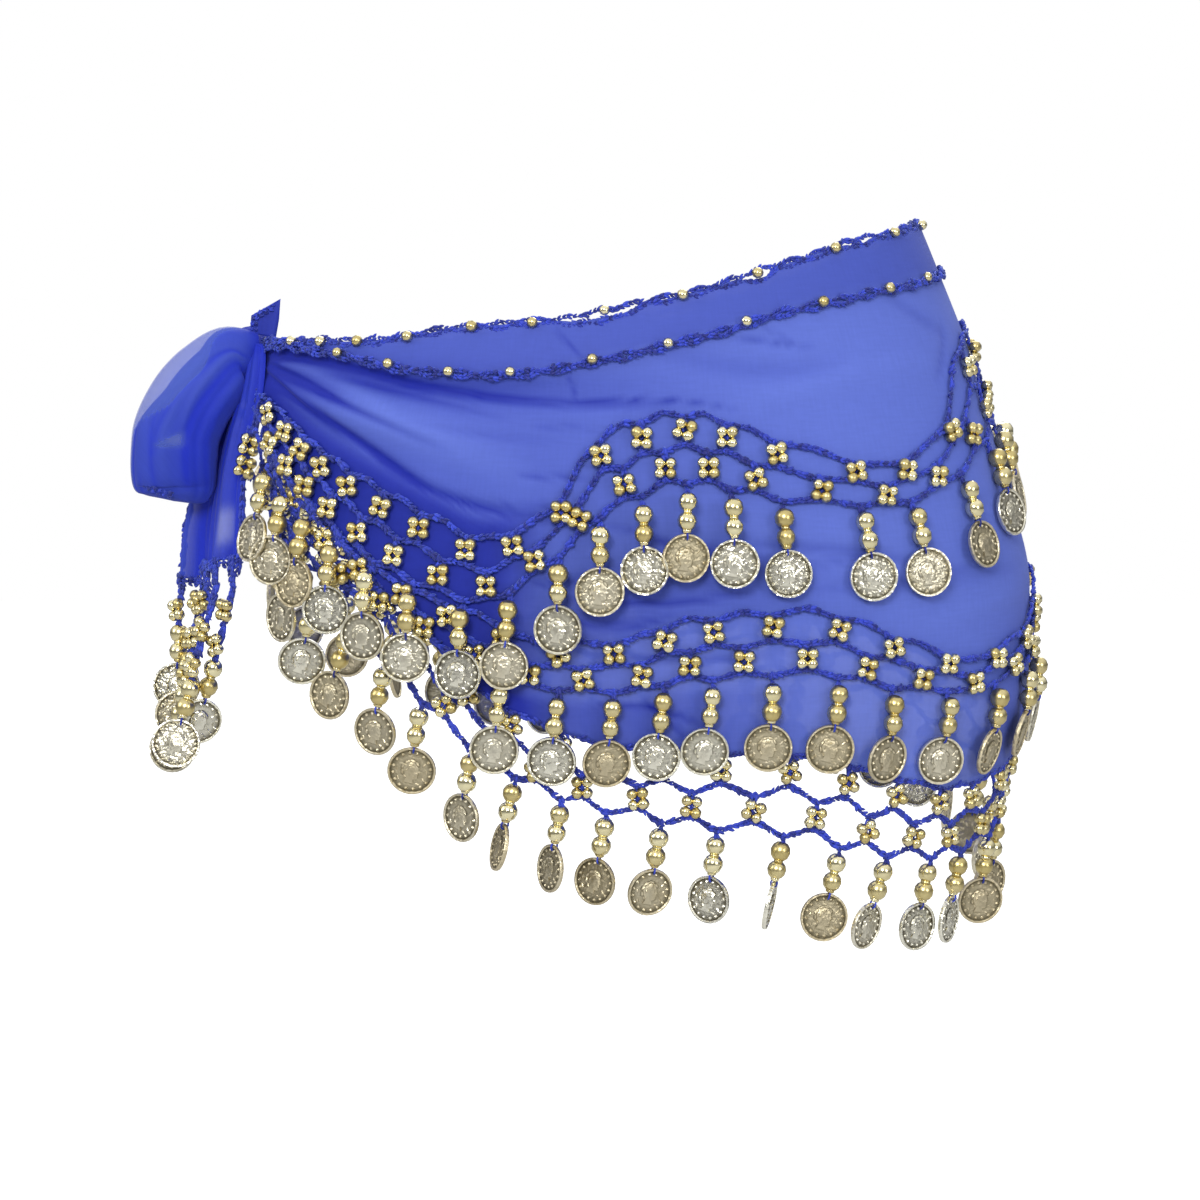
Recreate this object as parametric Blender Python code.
"""Belly dance hip scarf, tied on one hip and worn: a chiffon strip round a hip form, its knot,
bow and tail, crocheted edge chains, two coin bands on the cloth and a coin net below the hem.

+Z is up and the wearer faces -Y. The knot sits on the -X hip. "turn" is the angle round the hips
in degrees: 0 at the knot, 90 at the front, 180 at the other hip and 270 at the back. "lift" is how
far a point lies outside the cloth's inner face. Sizes below are millimetres.
"""
import math

import bmesh
import bpy
from mathutils import Vector

MM = 0.001

# Sections of the hip form, from below the lowest coins to above the waist edge.
FORM_COLUMNS = ("height", "half_width", "front_depth", "back_depth")
FORM = (
    (-260, 154, 96, 102),
    (-200, 161, 101, 110),
    (-170, 167, 104, 115),
    (-140, 173, 107, 119),
    (-100, 173, 108, 122),
    (-60, 164, 107, 120),
    (-20, 152, 104, 112),
    (0, 146, 101, 106),
    (30, 134.2, 96, 96),
    (60, 121.8, 90, 88),
)
FORM_ROUNDNESS = 2.35

# Heights of the scarf's lines at each turn.
LINE_COLUMNS = ("turn", "top", "second", "upper_top", "upper_low",
                "middle_top", "middle_low", "hem", "net_low")
LINES = (
    (9, 0, -4, -10, -24, -14, -30, -18, -36),
    (18, 1, -2, -15, -32, -24, -40, -24, -46),
    (30, 3, 0, -22, -41, -40, -56, -35, -62),
    (45, 4, -2, -39, -64, -60, -78, -56, -88),
    (60, 8, -6, -56, -88, -84, -102, -87, -120),
    (68, 11, -8, -65, -97, -94, -114, -107, -142),
    (76, 13, -8, -73, -101, -102, -128, -132, -164),
    (84, 16, -6, -57, -85, -113, -135, -147, -178),
    (90, 20, -1, -29, -64, -113, -136, -159, -185),
    (97, 24, 4, -22, -54, -103, -132, -163, -190.5),
    (112, 32, 14, -32, -61, -98, -130, -160, -195),
    (128, 40, 21, -44, -63, -112, -137, -172, -205),
    (143, 45, 25, -35, -55, -122, -139, -181, -208),
    (160, 49, 29, -4, -42, -114, -133, -175, -204),
    (180, 51, 31, 11, -33, -92, -126, -166, -196),
    (200, 48, 27, -2, -36, -84, -114, -152, -182),
    (225, 36, 16, -19, -44, -76, -104, -133, -163),
    (250, 20, 2, -24, -46, -70, -98, -121, -151),
    (270, 9, -8, -25, -46, -67, -94, -115, -145),
    (292, 1, -11, -24, -44, -62, -88, -102, -132),
    (315, -4, -12, -23, -40, -50, -70, -76, -106),
    (335, -3, -8, -16, -30, -27, -42, -40, -68),
    (351, 0, -4, -10, -24, -14, -30, -18, -36),
)

# Cloth wall, and the turns where each half of the strip begins and ends.
CLOTH_WALL = 1.2
SEAM_GAP = 0.3
EDGING_HEIGHT = 3.0
KNOT_SIDE_TURN = 9
FAR_SIDE_TURN = 180
SEAM_TURN = 0.03
CLOTH_FRONT_COLUMNS = 50
CLOTH_BACK_COLUMNS = 32
CLOTH_FRONT_ROWS = 9
CLOTH_BACK_ROWS = 6

# Folds that run out from the knot: troughs have a negative depth.
# Columns: start turn, start height, end turn, end height, depth, width.
FOLDS = (
    (10, -6, 104, -18, -2.6, 7),
    (10, -8, 66, -55, -2.6, 7),
    (10, -7, 82, -38, 2.8, 8),
    (350, -6, 262, -16, -2.2, 8),
    (350, -7, 292, -26, 2.2, 8),
)
FOLD_FADE = 9
TURN_ARC = 2.6

# Honeycomb net: one repeat holds a high and a low point of each of its three chains.
LINK_HALF_WIDTH = 2.2
NET_HEIGHT = 30
CHAIN_WIDTH = 2
CHAIN_ZIGZAG = 4
LINK_LENGTH = 6
STUB_GAP = 0.6
ROOT_HALF_WIDTH = 0.9
BAND_GAP = 0.6
BAND_THICKNESS = 1.8
NET_INNER_LIFT = -0.4
NET_THICKNESS = 1.6

# Each band: its lines, the turn, lean and yaw of each drop on the front half, and the back half's
# first turn, last turn, number of drops and yaw. The two halves meet at the far side. A drop
# leans towards the knot where its lean is negative.
UPPER_BAND = {
    "top": "upper_top", "low": "upper_low",
    "front": ((36.5, 2, 8), (42, 2, -10), (47.5, 1, 12), (53.5, 1, -8), (60, -2, 10),
              (66.5, -3, -14), (73.5, -2, 12), (79.5, -4, 0), (85, 0, 14), (89, 0, -4),
              (92.5, 0, 15), (97.5, -5, -10), (103, -3, 8), (110, -2, 6), (122.5, 0, 10),
              (132.5, 0, 12), (146.5, 5, -4), (162, 6, 14), (173.5, 3, 8)),
    "back": (186.5, 328, 17, 16),
}
MIDDLE_BAND = {
    "top": "middle_top", "low": "middle_low",
    "front": ((78.5, -8, -4), (85, -7, 8), (90, -6, -6), (94.5, -6, 14), (100, -6, 4),
              (107.5, -2, 8), (117, -5, 10), (126, 0, -14), (137, 0, 14), (150, 0, -12),
              (163, -2, -8), (173.5, 0, 6)),
    "back": (186.5, 303, 14, 14),
}
HEM_BAND = {
    "top": "hem", "low": "net_low",
    "front": ((42.5, 0, 20), (49.5, -12, -30), (56, -18, 12), (62, -11, 14), (67.5, -14, -8),
              (74, -13, 35), (79.5, -16, 68), (85, -11, 58), (89.5, -10, 33), (94.5, -8, -25),
              (101.5, -5, 42), (111, -8, -66), (120.5, -9, 8), (130, -14, -22), (140.5, -7, 0),
              (150, -6, -14), (163, 2, 50), (173.5, 4, 36)),
    "back": (186.5, 327, 18, 58),
}

# Coin drop: two large beads over a coin, as rings down the strand.
# Columns: below the root, half width, behind, ahead, turned with the coin.
DROP = (
    (4.6, 3.9, 2.25, 4.5, False),
    (8.6, 0.9, 0.5, 1.0, False),
    (12.6, 3.9, 2.25, 4.5, False),
    (16.8, 0.8, 0.5, 0.9, False),
    (21.4, 8.9, 0.6, 1.2, True),
    (32.2, 8.9, 0.6, 1.2, True),
)
DROP_LENGTH = 36.6
CLOSE_STAND_OFF = 4.8
OUTER_STAND_OFF = 8.6
FREE_STAND_OFF = 0.4
STACKED_TURN = 104
YAW_STEP = 2.4

# Edge chains of crochet, as plain strips.
SECOND_CHAIN_HEIGHT = 2.6
FRONT_CHAIN_STEPS = 36
BACK_CHAIN_STEPS = 24

# Knot: rings along Y round its own centre.
KNOT_CENTRE = (-151, 0, -8)
KNOT_RADII = (10, 14)
KNOT_SIDES = 12
# Columns: place along Y, share of the full radii.
KNOT = ((-20.4, 0.7), (-17, 0.96), (-8, 1.06), (0, 0.92), (8, 1.06), (17, 0.96), (20.4, 0.7))

# Bow loop: rings down its spine, from the knot to its open mouth.
BOW_COLUMNS = ("x", "y", "z", "half_across", "half_deep")
BOW = (
    (-149.5, -28.9, -7, 12.5, 7),
    (-157, -34, -5.5, 13.5, 9.5),
    (-166, -38.5, -13, 16, 12),
    (-174.5, -39, -24, 17, 14),
    (-180, -38, -38, 17.5, 14),
    (-183, -37, -51, 15.5, 12),
    (-182, -36, -62, 11.5, 8),
)
BOW_SIDES = 16
BOW_PLEATS = 4
BOW_PLEAT_DEPTH = 0.06

# Tail: a pleated end of the strip that hangs under the bow.
TAIL_COLUMNS = ("z", "left_x", "left_y", "right_x", "right_y", "pleat")
TAIL = (
    (-22.5, -155.5, -10, -148, -19, 0.8),
    (-36, -166, -17, -152, -33, 1.8),
    (-54, -172, -19, -152, -43, 2.4),
    (-76, -178, -18, -153, -48, 2.8),
    (-96, -181, -17, -155, -51, 3.0),
)
TAIL_STEPS = 12
TAIL_WAVES = 3
TAIL_BACKING_HEIGHT = 2.4
# Strands under the tail: share of its width, reach above the beads, drift of the coin towards the
# knot's far side and outwards along X and Y, and the coin's yaw.
TAIL_STRANDS = (
    (0.06, 16, -2.3, -3, -50),
    (0.3, 27, -10.8, -2, -58),
    (0.52, 40.5, -15.5, -1, -46),
    (0.74, 36, -16.2, -8.8, -52),
    (0.95, 28, -8.7, 7.8, -60),
)
COIN_CENTRE = 26.8

# Corner of the other end, which stands up out of the knot.
TIP_OUTLINE = ((-149.5, 6.7), (-137.5, 4.6), (-135.5, 11), (-137.5, 19))
TIP_Y = -29.6

CHIFFON = (0.06, 0.10, 0.62)
THREAD = (0.02, 0.04, 0.40)
BRASS = (0.80, 0.66, 0.36)


def column(columns, row, name):
    return row[columns.index(name)]


def smooth(columns, rows, name, at):
    """Value of a named column where the first column equals at, on a curve without overshoot."""
    places = [row[0] for row in rows]
    values = [column(columns, row, name) for row in rows]
    at = min(max(at, places[0]), places[-1])
    cell = max(i for i in range(len(places) - 1) if places[i] <= at)
    gaps = [places[i + 1] - places[i] for i in range(len(places) - 1)]
    slopes = [(values[i + 1] - values[i]) / gaps[i] for i in range(len(gaps))]

    def tangent(i):
        if i == 0 or i == len(values) - 1:
            return slopes[min(i, len(slopes) - 1)]
        before, after = slopes[i - 1], slopes[i]
        if before * after <= 0:
            return 0.0
        return 2 * before * after / (before + after)

    share = (at - places[cell]) / gaps[cell]
    start_turned = tangent(cell) * gaps[cell]
    end_turned = tangent(cell + 1) * gaps[cell]
    return (values[cell] * (1 + 2 * share) * (1 - share) ** 2
            + start_turned * share * (1 - share) ** 2
            + values[cell + 1] * share ** 2 * (3 - 2 * share)
            + end_turned * share ** 2 * (share - 1))


def line(name, turn):
    return smooth(LINE_COLUMNS, LINES, name, turn)


def fade(distance, width):
    share = min(max(distance / width, 0), 1)
    return share * share * (3 - 2 * share)


def fold_depth(turn, height):
    """How far the folds push the cloth out, between the second chain and the upper band."""
    room = fade(line("second", turn) - height, FOLD_FADE) * fade(
        height - line("upper_top", turn), FOLD_FADE)
    if room == 0:
        return 0.0
    pushed = 0.0
    for start_turn, start_height, end_turn, end_height, depth, width in FOLDS:
        run = Vector(((end_turn - start_turn) * TURN_ARC, end_height - start_height))
        here = Vector(((turn - start_turn) * TURN_ARC, height - start_height))
        share = here.dot(run) / run.length_squared
        if 0 < share < 1:
            aside = (here - run * share).length
            pushed += depth * math.exp(-(aside / width) ** 2) * math.sin(math.pi * share)
    return pushed * room


def rounded_power(value):
    return math.copysign(abs(value) ** (2 / FORM_ROUNDNESS), value)


def hip_frame(turn, height):
    """Point of the hip form in millimetres, with its outward and sideways directions."""
    angle = math.radians(turn)
    half_width = smooth(FORM_COLUMNS, FORM, "half_width", height)
    side = "front_depth" if math.sin(angle) >= 0 else "back_depth"
    depth = smooth(FORM_COLUMNS, FORM, side, height)
    across = -rounded_power(math.cos(angle))
    along = -rounded_power(math.sin(angle))
    point = Vector((half_width * across, depth * along, height))
    power = FORM_ROUNDNESS - 1
    outward = Vector((math.copysign(abs(across) ** power, across) / half_width,
                      math.copysign(abs(along) ** power, along) / depth, 0)).normalized()
    sideways = Vector((-outward.y, outward.x, 0))
    return point, outward, sideways


def scarf_point(turn, height, lift):
    point, outward, _ = hip_frame(turn, height)
    return point + outward * (lift + fold_depth(turn, height))


def even_turns(name, start, end, count):
    """Turns at count equal steps of length along a line."""
    fine = 400
    turns = [start + (end - start) * i / fine for i in range(fine + 1)]
    points = [scarf_point(turn, line(name, turn), 0) for turn in turns]
    lengths = [0.0]
    for before, after in zip(points, points[1:]):
        lengths.append(lengths[-1] + (after - before).length)
    found = []
    for step in range(count + 1):
        target = lengths[-1] * step / count
        cell = max(i for i in range(fine) if lengths[i] <= target)
        share = (target - lengths[cell]) / (lengths[cell + 1] - lengths[cell])
        found.append(turns[cell] + (turns[cell + 1] - turns[cell]) * share)
    return found


def material(name, colour, roughness, metallic):
    made = bpy.data.materials.new(name)
    made.use_nodes = True
    shader = made.node_tree.nodes["Principled BSDF"]
    shader.inputs["Base Color"].default_value = (*colour, 1)
    shader.inputs["Roughness"].default_value = roughness
    shader.inputs["Metallic"].default_value = metallic
    made.diffuse_color = (*colour, 1)
    return made


def add_solid(name, mesh, finish):
    """Close a bmesh made in millimetres into one named object in metres."""
    bmesh.ops.scale(mesh, vec=(MM, MM, MM), verts=mesh.verts)
    bmesh.ops.triangulate(mesh, faces=mesh.faces)
    bmesh.ops.recalc_face_normals(mesh, faces=mesh.faces)
    data = bpy.data.meshes.new(name)
    mesh.to_mesh(data)
    mesh.free()
    data.shade_smooth()
    data.set_sharp_from_angle(angle=math.radians(40))
    data.materials.append(material(f"{name}_finish", *finish))
    solid = bpy.data.objects.new(name, data)
    bpy.context.collection.objects.link(solid)


def plate(mesh, faces, place, open_edges=()):
    """Thicken flat faces, given by point keys, into a wall; place(key, layer) puts each point."""
    corners = {}
    for layer in (0, 1):
        for key in sorted({key for face in faces for key in face}):
            corners[key, layer] = mesh.verts.new(place(key, layer))
    edges = {}
    for face in faces:
        for before, after in zip(face, face[1:] + face[:1]):
            edges[before, after] = True
        mesh.faces.new([corners[key, 1] for key in face])
        mesh.faces.new([corners[key, 0] for key in reversed(face)])
    for before, after in edges:
        if (after, before) in edges or (before, after) in open_edges:
            continue
        mesh.faces.new([corners[after, 1], corners[before, 1],
                        corners[before, 0], corners[after, 0]])
    return corners


def grid_faces(columns, rows):
    return [((i, j), (i, j + 1), (i + 1, j + 1), (i + 1, j))
            for i in range(columns) for j in range(rows)]


def add_cloth(name, start, end, columns, rows):
    def place(key, layer):
        turn = start + (end - start) * key[0] / columns
        top = line("top", turn) - EDGING_HEIGHT - SEAM_GAP
        height = top + (line("hem", turn) - top) * key[1] / rows
        return scarf_point(turn, height, CLOTH_WALL * layer)

    mesh = bmesh.new()
    plate(mesh, grid_faces(columns, rows), place)
    add_solid(name, mesh, (CHIFFON, 0.6, 0.0))


def add_chain(name, line_name, start, end, steps, height, inner_lift, outer_lift):
    turns = even_turns(line_name, start, end, steps)

    def place(key, layer):
        turn = turns[key[0]]
        return scarf_point(turn, line(line_name, turn) - height * key[1],
                           outer_lift if layer else inner_lift)

    mesh = bmesh.new()
    plate(mesh, grid_faces(steps, 1), place)
    add_solid(name, mesh, (THREAD, 0.7, 0.0))


def net_faces(lows, highs, hangs_free):
    """Faces of the first two chains and the links; the lower links end free or in chain three.

    High point n lies just before low point n.
    """
    foot = "stub" if hangs_free else "third"
    faces = []
    for n in lows:
        faces += [
            (("first_low", n), ("link_left", n), ("link_right", n)),
            (("link_left", n), ("second_left", n), ("second_right", n), ("link_right", n)),
            (("second_left", n), ("second_under", n), ("second_right", n)),
        ]
    for n in highs:
        if n - 1 in lows:
            faces += [
                (("first_low", n - 1), ("link_right", n - 1), ("first_under", n),
                 ("first_high", n)),
                (("second_right", n - 1), ("second_under", n - 1), ("foot_left", n),
                 ("second_low", n)),
            ]
        if n in lows:
            faces += [
                (("first_high", n), ("first_under", n), ("link_left", n), ("first_low", n)),
                (("second_low", n), ("foot_right", n), ("second_under", n), ("second_left", n)),
            ]
        if n - 1 in lows and n in lows:
            faces += [
                (("second_low", n), ("foot_left", n), ("foot_right", n)),
                (("foot_left", n), (f"{foot}_left", n), (f"{foot}_right", n),
                 ("foot_right", n)),
            ]
    return faces


def fringe_faces(lows, highs):
    """Faces of chain three, with an edge at each low point where a drop is rooted."""
    faces = [(("third_low", n), ("root_left", n), ("root_right", n)) for n in lows]
    for n in highs:
        if n - 1 in lows:
            faces.append((("third_low", n - 1), ("root_right", n - 1), ("third_under", n),
                          ("third_left", n)))
        if n in lows:
            faces.append((("third_right", n), ("third_under", n), ("root_left", n),
                          ("third_low", n)))
        if n - 1 in lows and n in lows:
            faces.append((("third_left", n), ("third_under", n), ("third_right", n)))
    return faces


def net_places():
    """Each kind of net point: whether it is at a low point, its offset along and depth down."""
    first_low = CHAIN_ZIGZAG
    link_top = first_low + CHAIN_WIDTH
    second_high = link_top + LINK_LENGTH
    second_low = second_high + CHAIN_ZIGZAG
    foot_top = second_low + CHAIN_WIDTH
    third_high = foot_top + LINK_LENGTH
    third_low = third_high + CHAIN_ZIGZAG
    link = LINK_HALF_WIDTH
    return {
        "first_low": (True, 0, first_low), "first_high": (False, 0, 0),
        "first_under": (False, 0, CHAIN_WIDTH),
        "link_left": (True, -link, link_top), "link_right": (True, link, link_top),
        "second_left": (True, -link, second_high), "second_right": (True, link, second_high),
        "second_under": (True, 0, second_high + CHAIN_WIDTH),
        "second_low": (False, 0, second_low),
        "foot_left": (False, -link, foot_top), "foot_right": (False, link, foot_top),
        "stub_left": (False, -link, third_high - STUB_GAP),
        "stub_right": (False, link, third_high - STUB_GAP),
        "third_left": (False, -link, third_high), "third_right": (False, link, third_high),
        "third_under": (False, 0, third_high + CHAIN_WIDTH), "third_low": (True, 0, third_low),
        "root_left": (True, -ROOT_HALF_WIDTH, NET_HEIGHT),
        "root_right": (True, ROOT_HALF_WIDTH, NET_HEIGHT),
    }


def triangle_ring(mesh, centre, outward, sideways, half_width, behind, ahead):
    return [mesh.verts.new(centre + outward * ahead),
            mesh.verts.new(centre + sideways * half_width - outward * behind),
            mesh.verts.new(centre - sideways * half_width - outward * behind)]


def loft(mesh, upper, lower):
    count = len(upper)
    for i in range(count):
        following = (i + 1) % count
        mesh.faces.new([upper[i], lower[i], lower[following], upper[following]])


def add_drop(mesh, root, centre_at, outward, sideways, yaw, reach=0.0):
    """Two beads and a coin below a root of four points: left and right, outer then inner."""
    left, right, left_inner, right_inner = root
    facing = outward * math.cos(yaw) - sideways * math.sin(yaw)
    across = sideways * math.cos(yaw) + outward * math.sin(yaw)
    rings = []
    for below, half_width, behind, ahead, turned in DROP:
        front, aside = (facing, across) if turned else (outward, sideways)
        rings.append(triangle_ring(mesh, centre_at(below + reach), front, aside,
                                   half_width, behind, ahead))
    front, first, second = rings[0]
    mesh.faces.new([left, right, front])
    mesh.faces.new([right, right_inner, first])
    mesh.faces.new([right, first, front])
    mesh.faces.new([right_inner, left_inner, second, first])
    mesh.faces.new([left_inner, left, second])
    mesh.faces.new([left, front, second])
    for upper, lower in zip(rings, rings[1:]):
        loft(mesh, upper, lower)
    end = mesh.verts.new(centre_at(DROP_LENGTH + reach))
    for i in range(3):
        mesh.faces.new([rings[-1][i], end, rings[-1][(i + 1) % 3]])


def band_turns(band, side):
    """Turns of a half band's low points, and of its high points by their number."""
    if side == "front":
        lows = [turn for turn, _, _ in band["front"]]
    else:
        start, end, count, _ = band["back"]
        lows = even_turns(band["top"], start, end, count - 1)
    highs = {n: (lows[n - 1] + lows[n]) / 2 for n in range(1, len(lows))}
    if side == "front":
        highs[len(lows)] = FAR_SIDE_TURN - SEAM_TURN
    else:
        highs[0] = FAR_SIDE_TURN + SEAM_TURN
    return lows, highs


def drop_angles(band, side, number):
    """Lean and yaw of a drop."""
    if side == "front":
        _, lean, yaw = band["front"][number]
    else:
        lean, yaw = 0, band["back"][3] * math.sin(YAW_STEP * (number + 1))
    return math.radians(lean), math.radians(yaw)


def add_band(name, band, side, parts, inner_lift, thickness, stand_off, finish):
    """One half of a net or coin band; with "fringe" it has a drop at each of its low points."""
    lows, highs = band_turns(band, side)
    places = net_places()

    def height_of(turn, down):
        top = line(band["top"], turn) - SEAM_GAP
        return top + (line(band["low"], turn) - top) * down / NET_HEIGHT

    def place(key, layer):
        is_low, offset, down = places[key[0]]
        turn = lows[key[1]] if is_low else highs[key[1]]
        if offset:
            here = scarf_point(turn, line(band["top"], turn), 0)
            ahead = scarf_point(turn + 1, line(band["top"], turn), 0)
            turn += offset / (ahead - here).length
        return scarf_point(turn, height_of(turn, down), inner_lift + thickness * layer)

    numbers = range(len(lows))
    faces = []
    if "net" in parts:
        faces += net_faces(numbers, highs, "fringe" not in parts)
    roots = []
    if "fringe" in parts:
        faces += fringe_faces(numbers, highs)
        roots = [(("root_left", n), ("root_right", n)) for n in numbers]
    mesh = bmesh.new()
    corners = plate(mesh, faces, place, set(roots))
    for n, (left, right) in enumerate(roots):
        turn = lows[n]
        root_height = height_of(turn, NET_HEIGHT)
        _, outward, sideways = hip_frame(turn, root_height)
        lift = stand_off(turn)
        lean, yaw = drop_angles(band, side, n)

        def centre_at(below):
            aside = sideways * math.tan(lean) * below
            return scarf_point(turn, root_height - below, lift) + aside

        add_drop(mesh, (corners[left, 1], corners[right, 1], corners[left, 0], corners[right, 0]),
                 centre_at, outward, sideways, yaw)
    add_solid(name, mesh, finish)


def band_stand_off(turn):
    """Drops of the upper band ride over the middle band where the two bands meet."""
    return OUTER_STAND_OFF if turn < STACKED_TURN or turn > FAR_SIDE_TURN else CLOSE_STAND_OFF


def close_stand_off(turn):
    return CLOSE_STAND_OFF


def free_stand_off(turn):
    return FREE_STAND_OFF


def add_knot():
    mesh = bmesh.new()
    centre = Vector(KNOT_CENTRE)
    rings = []
    for along, swell in KNOT:
        ring = []
        for i in range(KNOT_SIDES):
            angle = math.tau * i / KNOT_SIDES
            ring.append(mesh.verts.new(centre + Vector((
                KNOT_RADII[0] * swell * math.cos(angle), along,
                KNOT_RADII[1] * swell * math.sin(angle)))))
        rings.append(ring)
    for upper, lower in zip(rings, rings[1:]):
        loft(mesh, upper, lower)
    mesh.faces.new(rings[0])
    mesh.faces.new(list(reversed(rings[-1])))
    add_solid("knot", mesh, (CHIFFON, 0.6, 0.0))


def add_bow():
    """Hollow loop of gathered cloth, open at its mouth and where it enters the knot."""
    centres = [Vector(row[:3]) for row in BOW]

    def place(key, layer):
        station, corner = key
        before = centres[max(station - 1, 0)]
        after = centres[min(station + 1, len(BOW) - 1)]
        run = (after - before).normalized()
        deep = Vector((0, 1, 0))
        across = run.cross(deep).normalized()
        deep = across.cross(run).normalized()
        angle = math.tau * corner / BOW_SIDES
        pleat = 1 + BOW_PLEAT_DEPTH * math.cos(BOW_PLEATS * angle)
        half_across = column(BOW_COLUMNS, BOW[station], "half_across") * pleat
        half_deep = column(BOW_COLUMNS, BOW[station], "half_deep") * pleat
        inset = 0 if layer else CLOTH_WALL
        return (centres[station] + across * (half_across - inset) * math.cos(angle)
                + deep * (half_deep - inset) * math.sin(angle))

    faces = [((i, j), (i, (j + 1) % BOW_SIDES), (i + 1, (j + 1) % BOW_SIDES), (i + 1, j))
             for i in range(len(BOW) - 1) for j in range(BOW_SIDES)]
    mesh = bmesh.new()
    plate(mesh, faces, place)
    add_solid("bow_loop", mesh, (CHIFFON, 0.6, 0.0))


def tail_frame(row, share):
    """Point, outward and sideways directions on one row of the pleated tail."""
    left = Vector((column(TAIL_COLUMNS, row, "left_x"), column(TAIL_COLUMNS, row, "left_y"), 0))
    right = Vector((column(TAIL_COLUMNS, row, "right_x"), column(TAIL_COLUMNS, row, "right_y"), 0))
    sideways = (right - left).normalized()
    outward = Vector((sideways.y, -sideways.x, 0))
    pleat = column(TAIL_COLUMNS, row, "pleat") * math.sin(math.tau * TAIL_WAVES * share)
    point = left.lerp(right, share) + outward * pleat
    return point, outward, sideways


def add_tail():
    def place(key, layer):
        row = TAIL[key[1]]
        point, outward, _ = tail_frame(row, key[0] / TAIL_STEPS)
        point.z = column(TAIL_COLUMNS, row, "z")
        return point + outward * CLOTH_WALL * layer

    mesh = bmesh.new()
    plate(mesh, grid_faces(TAIL_STEPS, len(TAIL) - 1), place)
    add_solid("tail", mesh, (CHIFFON, 0.6, 0.0))


def add_tail_fringe():
    """Crochet strands under the tail, rooted in a narrow backing just below its edge."""
    row = TAIL[-1]
    top = column(TAIL_COLUMNS, row, "z") - SEAM_GAP
    shares = [0.0]
    for share, *_ in TAIL_STRANDS:
        shares += [share - 0.02, share + 0.02]
    shares.append(1.0)

    def place(key, layer):
        point, outward, _ = tail_frame(row, shares[key[0]])
        point.z = top - TAIL_BACKING_HEIGHT * key[1]
        return point + outward * CLOTH_WALL * layer

    steps = len(shares) - 1
    roots = {((n, 1), (n + 1, 1)) for n in range(1, steps, 2)}
    mesh = bmesh.new()
    corners = plate(mesh, grid_faces(steps, 1), place, roots)
    for n, (share, reach, drift_x, drift_y, yaw) in enumerate(TAIL_STRANDS):
        left, right = (2 * n + 1, 1), (2 * n + 2, 1)
        point, outward, sideways = tail_frame(row, share)
        drift = Vector((drift_x, drift_y, 0))

        def centre_at(below):
            centre = point + drift * below / (reach + COIN_CENTRE)
            centre.z = top - TAIL_BACKING_HEIGHT - below
            return centre

        add_drop(mesh, (corners[left, 1], corners[right, 1], corners[left, 0], corners[right, 0]),
                 centre_at, outward, sideways, math.radians(yaw), reach)
    add_solid("tail_fringe", mesh, (BRASS, 0.3, 1.0))


def add_tip():
    def place(key, layer):
        x, z = TIP_OUTLINE[key]
        return Vector((x, TIP_Y - CLOTH_WALL * layer, z))

    mesh = bmesh.new()
    plate(mesh, [tuple(range(len(TIP_OUTLINE)))], place)
    add_solid("tip", mesh, (CHIFFON, 0.6, 0.0))


def add_edge_chains():
    second_lift = CLOTH_WALL + BAND_GAP
    halves = (("front", KNOT_SIDE_TURN, FAR_SIDE_TURN - SEAM_TURN, FRONT_CHAIN_STEPS),
              ("back", FAR_SIDE_TURN + SEAM_TURN, 360 - KNOT_SIDE_TURN, BACK_CHAIN_STEPS))
    for side, start, end, steps in halves:
        add_chain(f"edge_chain_{side}", "top", start, end, steps, EDGING_HEIGHT,
                  NET_INNER_LIFT, CLOTH_WALL + SEAM_GAP)
        add_chain(f"second_chain_{side}", "second", start + 8 if side == "front" else start,
                  end if side == "front" else end - 8, steps, SECOND_CHAIN_HEIGHT,
                  second_lift, second_lift + BAND_THICKNESS)


def add_bands():
    on_cloth = CLOTH_WALL + BAND_GAP
    gilded = (BRASS, 0.3, 1.0)
    crochet = (THREAD, 0.7, 0.0)
    for side in ("front", "back"):
        add_band(f"upper_band_{side}", UPPER_BAND, side, ("net", "fringe"), on_cloth,
                 BAND_THICKNESS, band_stand_off, gilded)
        add_band(f"middle_band_{side}", MIDDLE_BAND, side, ("net", "fringe"), on_cloth,
                 BAND_THICKNESS, close_stand_off, gilded)
        add_band(f"hem_net_{side}", HEM_BAND, side, ("net",), NET_INNER_LIFT, NET_THICKNESS,
                 free_stand_off, crochet)
        add_band(f"hem_fringe_{side}", HEM_BAND, side, ("fringe",), NET_INNER_LIFT,
                 NET_THICKNESS, free_stand_off, gilded)


def main():
    for old in list(bpy.data.objects):
        bpy.data.objects.remove(old, do_unlink=True)
    add_cloth("cloth_front", KNOT_SIDE_TURN, FAR_SIDE_TURN - SEAM_TURN,
              CLOTH_FRONT_COLUMNS, CLOTH_FRONT_ROWS)
    add_cloth("cloth_back", FAR_SIDE_TURN + SEAM_TURN, 360 - KNOT_SIDE_TURN,
              CLOTH_BACK_COLUMNS, CLOTH_BACK_ROWS)
    add_edge_chains()
    add_bands()
    add_knot()
    add_bow()
    add_tail()
    add_tail_fringe()
    add_tip()


main()
